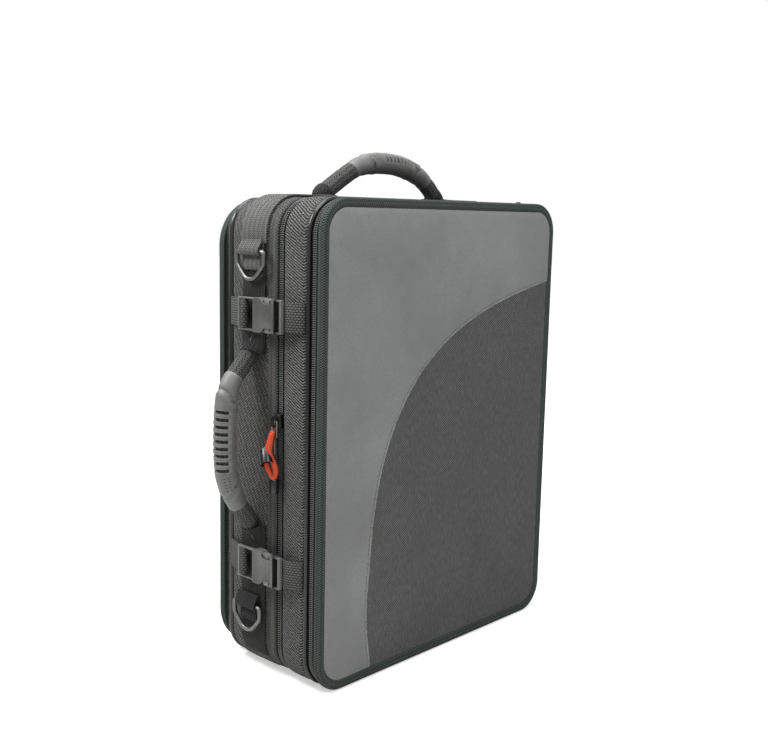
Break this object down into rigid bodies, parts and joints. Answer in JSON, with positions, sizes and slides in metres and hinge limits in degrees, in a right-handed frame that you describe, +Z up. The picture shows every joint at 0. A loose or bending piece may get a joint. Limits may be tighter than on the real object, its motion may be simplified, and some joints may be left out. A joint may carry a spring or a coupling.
{
  "type": "double clarinet case",
  "caption": "Soft-sided rectangular instrument case on end, with zipped lid, zipped pockets, side release buckles, arched carrying handles and D rings.",
  "frame": {"origin": "on the ground under the flat bottom of the base half's wall, midway between its two sides", "axes": "+Z up along the case's long side, +Y from the front pocket to the back pocket, +X from the side with the handle and buckles to the hinge side"},
  "size_m": [0.3578, 0.1355, 0.4554],
  "materials": {
    "twill": "coarse twill, matt",
    "leatherette": "grained, low sheen",
    "nylon": "fine twill, matt",
    "binding_cloth": "ribbed tape, matt",
    "piping_vinyl": "smooth vinyl",
    "zip_cloth": "woven tape with coil teeth",
    "webbing_cloth": "woven webbing",
    "rubber": "moulded, matt",
    "buckle_plastic": "moulded, fine texture",
    "ring_metal": "dark plated wire",
    "slider_metal": "dark lacquered die casting",
    "pull_metal": "bright plated",
    "orange_cord": "braided cord",
    "grey_plastic": "smooth",
    "board_cloth": "lining cloth over board",
    "plush": "short pile"
  },
  "bodies": {
    "base": {"base_shell": "twill", "base_board": "board_cloth", "base_piping": "piping_vinyl", "base_zip_half": "zip_cloth", "base_pocket_zip": "zip_cloth", "clarinet_tray": "plush", "base_hinge_strip": "twill", "corner_webbing": "webbing_cloth", "lower_webbing": "webbing_cloth", "top_webbing": "webbing_cloth", "side_anchor_lower": "webbing_cloth", "side_anchor_upper": "webbing_cloth", "top_anchor_left": "webbing_cloth", "top_anchor_right": "webbing_cloth", "rear_strap_upper": "webbing_cloth", "rear_strap_lower": "webbing_cloth", "buckle_male_upper": "buckle_plastic", "buckle_male_lower": "buckle_plastic", "ring_tab_upper": "webbing_cloth", "ring_tab_lower": "webbing_cloth"},
    "lid": {"lid_shell": "twill", "lid_board": "board_cloth", "lid_piping": "piping_vinyl", "lid_zip_half": "zip_cloth", "lid_pocket_zip": "zip_cloth", "lid_pad": "plush", "lid_hinge_strip": "twill", "front_strap_upper": "webbing_cloth", "front_strap_lower": "webbing_cloth", "buckle_female_upper": "buckle_plastic", "buckle_female_lower": "buckle_plastic"},
    "front_panel": {"front_binding": "binding_cloth", "front_core": "board_cloth", "front_panel_zip": "zip_cloth", "front_leather_skin": "leatherette", "front_nylon_skin": "nylon"},
    "back_panel": {"back_binding": "binding_cloth", "back_core": "board_cloth", "back_skin": "nylon", "back_panel_zip": "zip_cloth"},
    "side_handle": {"side_handle_core": "webbing_cloth", "side_handle_grip": "rubber"},
    "top_handle": {"top_handle_core": "webbing_cloth", "top_handle_grip": "rubber"},
    "upper_ring": {"d_ring_upper": "ring_metal"},
    "lower_ring": {"d_ring_lower": "ring_metal"},
    "upper_buckle_top_arm": {"buckle_arm_upper_top": "buckle_plastic"},
    "upper_buckle_bottom_arm": {"buckle_arm_upper_bottom": "buckle_plastic"},
    "lower_buckle_top_arm": {"buckle_arm_lower_top": "buckle_plastic"},
    "lower_buckle_bottom_arm": {"buckle_arm_lower_bottom": "buckle_plastic"},
    "main_slider": {"main_zip_slider": "slider_metal"},
    "main_pull": {"main_zip_pull": "pull_metal", "main_pull_cord": "orange_cord", "main_pull_sleeve": "grey_plastic", "main_pull_bead": "grey_plastic"},
    "front_pocket_slider": {"front_pocket_slider": "slider_metal"},
    "front_pocket_pull": {"front_pocket_pull": "pull_metal"},
    "back_pocket_slider": {"back_pocket_slider": "slider_metal"},
    "back_pocket_pull": {"back_pocket_pull": "pull_metal"}
  },
  "joints": [
    {"name": "lid_hinge", "type": "hinge", "parent": "base", "child": "lid", "pos_m": [0.15815, -0.04185, 0.209], "axis": [0, 0, 1], "range_deg": [0, 175], "deforming": ["buckle_arm_upper_top", "buckle_arm_upper_bottom", "buckle_arm_lower_top", "buckle_arm_lower_bottom"]},
    {"name": "front_pocket_hinge", "type": "hinge", "parent": "lid", "child": "front_panel", "pos_m": [0.15815, -0.0805, 0.209], "axis": [0, 0, -1], "range_deg": [-120, 0]},
    {"name": "back_pocket_hinge", "type": "hinge", "parent": "base", "child": "back_panel", "pos_m": [0.15815, 0.0343, 0.209], "axis": [0, 0, -1], "range_deg": [0, 120]},
    {"name": "side_handle_hinge", "type": "hinge", "parent": "base", "child": "side_handle", "pos_m": [-0.1636, -0.01, 0.209], "axis": [0, 0, 1], "range_deg": [-45, 30]},
    {"name": "top_handle_hinge", "type": "hinge", "parent": "base", "child": "top_handle", "pos_m": [-0.0073, -0.01, 0.4192], "axis": [1, 0, 0], "range_deg": [-45, 45]},
    {"name": "upper_ring_hinge", "type": "hinge", "parent": "base", "child": "upper_ring", "pos_m": [-0.1638, -0.011, 0.368], "axis": [0, 1, 0], "range_deg": [0, 120]},
    {"name": "lower_ring_hinge", "type": "hinge", "parent": "base", "child": "lower_ring", "pos_m": [-0.1638, -0.0074, 0.0622], "axis": [0, 1, 0], "range_deg": [0, 120]},
    {"name": "upper_buckle_top_arm", "type": "hinge", "parent": "base", "child": "upper_buckle_top_arm", "pos_m": [-0.1668, -0.02515, 0.3262], "axis": [1, 0, 0], "range_deg": [0, 12], "stiffness_Nm_per_rad": 0.6},
    {"name": "upper_buckle_bottom_arm", "type": "hinge", "parent": "base", "child": "upper_buckle_bottom_arm", "pos_m": [-0.1668, -0.02515, 0.3066], "axis": [1, 0, 0], "range_deg": [-12, 0], "stiffness_Nm_per_rad": 0.6},
    {"name": "lower_buckle_top_arm", "type": "hinge", "parent": "base", "child": "lower_buckle_top_arm", "pos_m": [-0.1668, -0.02515, 0.1113], "axis": [1, 0, 0], "range_deg": [0, 12], "stiffness_Nm_per_rad": 0.6},
    {"name": "lower_buckle_bottom_arm", "type": "hinge", "parent": "base", "child": "lower_buckle_bottom_arm", "pos_m": [-0.1668, -0.02515, 0.0917], "axis": [1, 0, 0], "range_deg": [-12, 0], "stiffness_Nm_per_rad": 0.6},
    {"name": "main_slider_slide", "type": "slide", "parent": "base", "child": "main_slider", "axis": [0, 0, 1], "range_m": [-0.045, 0.055]},
    {"name": "main_pull_hinge", "type": "hinge", "parent": "main_slider", "child": "main_pull", "pos_m": [-0.1632, -0.04185, 0.229], "axis": [0, 1, 0], "range_deg": [0, 100]},
    {"name": "front_pocket_slider_slide", "type": "slide", "parent": "lid", "child": "front_pocket_slider", "axis": [1, 0, 0], "range_m": [-0.22, 0]},
    {"name": "front_pocket_pull_hinge", "type": "hinge", "parent": "front_pocket_slider", "child": "front_pocket_pull", "pos_m": [0.1105, -0.0805, 0.41288], "axis": [0, 1, 0], "range_deg": [0, 150]},
    {"name": "back_pocket_slider_slide", "type": "slide", "parent": "base", "child": "back_pocket_slider", "axis": [1, 0, 0], "range_m": [-0.22, 0]},
    {"name": "back_pocket_pull_hinge", "type": "hinge", "parent": "back_pocket_slider", "child": "back_pocket_pull", "pos_m": [0.1105, 0.0343, 0.41048], "axis": [0, 1, 0], "range_deg": [0, 150]}
  ],
  "couplings": [
    {"joint": "upper_buckle_bottom_arm", "follows": "upper_buckle_top_arm", "ratio": -1},
    {"joint": "lower_buckle_bottom_arm", "follows": "lower_buckle_top_arm", "ratio": -1}
  ]
}
